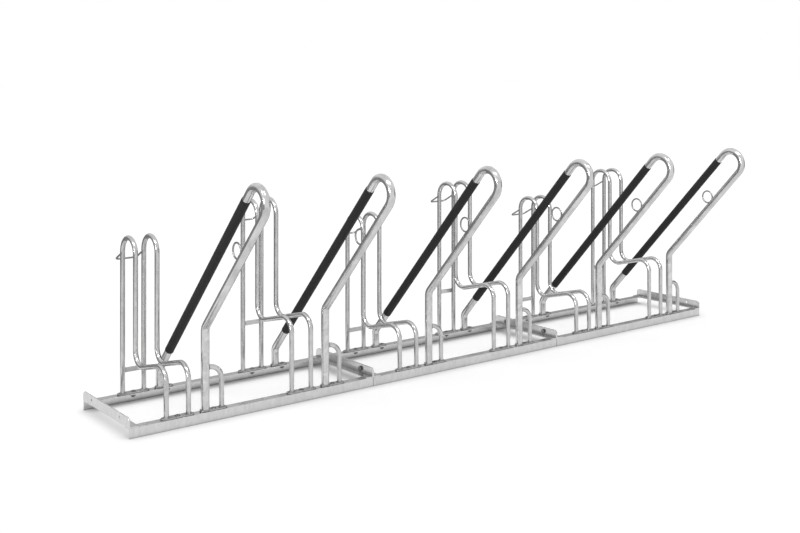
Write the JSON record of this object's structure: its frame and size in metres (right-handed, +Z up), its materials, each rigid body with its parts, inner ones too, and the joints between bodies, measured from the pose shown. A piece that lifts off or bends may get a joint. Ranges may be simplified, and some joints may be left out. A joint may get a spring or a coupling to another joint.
{
  "type": "floor bike rack",
  "caption": "Free-standing galvanised bike rack: bent wheel holders at alternating heights and slanted, sleeved leaning bars with lock rings on a bolted angle-section base",
  "frame": {"origin": "on the floor, under the middle of the rack's bounding box", "axes": "+X along the rack to the right as seen from the side the leaning bars point to, +Y from that side to the side of the tall loops, +Z up"},
  "size_m": [3, 0.8545, 0.8584],
  "materials": {
    "galvanised_steel": "satin",
    "sleeve": "matte",
    "zinc_fasteners": "satin"
  },
  "bodies": {
    "root": {"front_rail_1": "galvanised_steel", "front_rail_2": "galvanised_steel", "front_rail_3": "galvanised_steel", "rear_rail_1": "galvanised_steel", "rear_rail_2": "galvanised_steel", "rear_rail_3": "galvanised_steel", "cross_left_1": "galvanised_steel", "cross_left_2": "galvanised_steel", "cross_left_3": "galvanised_steel", "cross_right_1": "galvanised_steel", "cross_right_2": "galvanised_steel", "cross_right_3": "galvanised_steel", "wheel_bar_left_1": "galvanised_steel", "wheel_bar_left_2": "galvanised_steel", "wheel_bar_left_3": "galvanised_steel", "wheel_bar_left_4": "galvanised_steel", "wheel_bar_left_5": "galvanised_steel", "wheel_bar_left_6": "galvanised_steel", "wheel_bar_right_1": "galvanised_steel", "wheel_bar_right_2": "galvanised_steel", "wheel_bar_right_3": "galvanised_steel", "wheel_bar_right_4": "galvanised_steel", "wheel_bar_right_5": "galvanised_steel", "wheel_bar_right_6": "galvanised_steel", "lean_bar_1": "galvanised_steel", "lean_bar_2": "galvanised_steel", "lean_bar_3": "galvanised_steel", "lean_bar_4": "galvanised_steel", "lean_bar_5": "galvanised_steel", "lean_bar_6": "galvanised_steel", "lean_sleeve_1": "sleeve", "lean_sleeve_2": "sleeve", "lean_sleeve_3": "sleeve", "lean_sleeve_4": "sleeve", "lean_sleeve_5": "sleeve", "lean_sleeve_6": "sleeve", "lock_ring_1": "galvanised_steel", "lock_ring_2": "galvanised_steel", "lock_ring_3": "galvanised_steel", "lock_ring_4": "galvanised_steel", "lock_ring_5": "galvanised_steel", "lock_ring_6": "galvanised_steel", "hoop_1": "galvanised_steel", "hoop_2": "galvanised_steel", "hoop_3": "galvanised_steel", "hoop_4": "galvanised_steel", "hoop_5": "galvanised_steel", "hoop_6": "galvanised_steel", "wheel_stop_1": "galvanised_steel", "wheel_stop_2": "galvanised_steel", "wheel_stop_3": "galvanised_steel", "wheel_stop_4": "galvanised_steel", "wheel_stop_5": "galvanised_steel", "wheel_stop_6": "galvanised_steel", "wheel_rests": "galvanised_steel", "foot_plates": "galvanised_steel", "foot_bolts": "zinc_fasteners", "foot_nuts": "zinc_fasteners", "joint_bolts": "zinc_fasteners", "joint_nuts": "zinc_fasteners"}
  },
  "joints": []
}
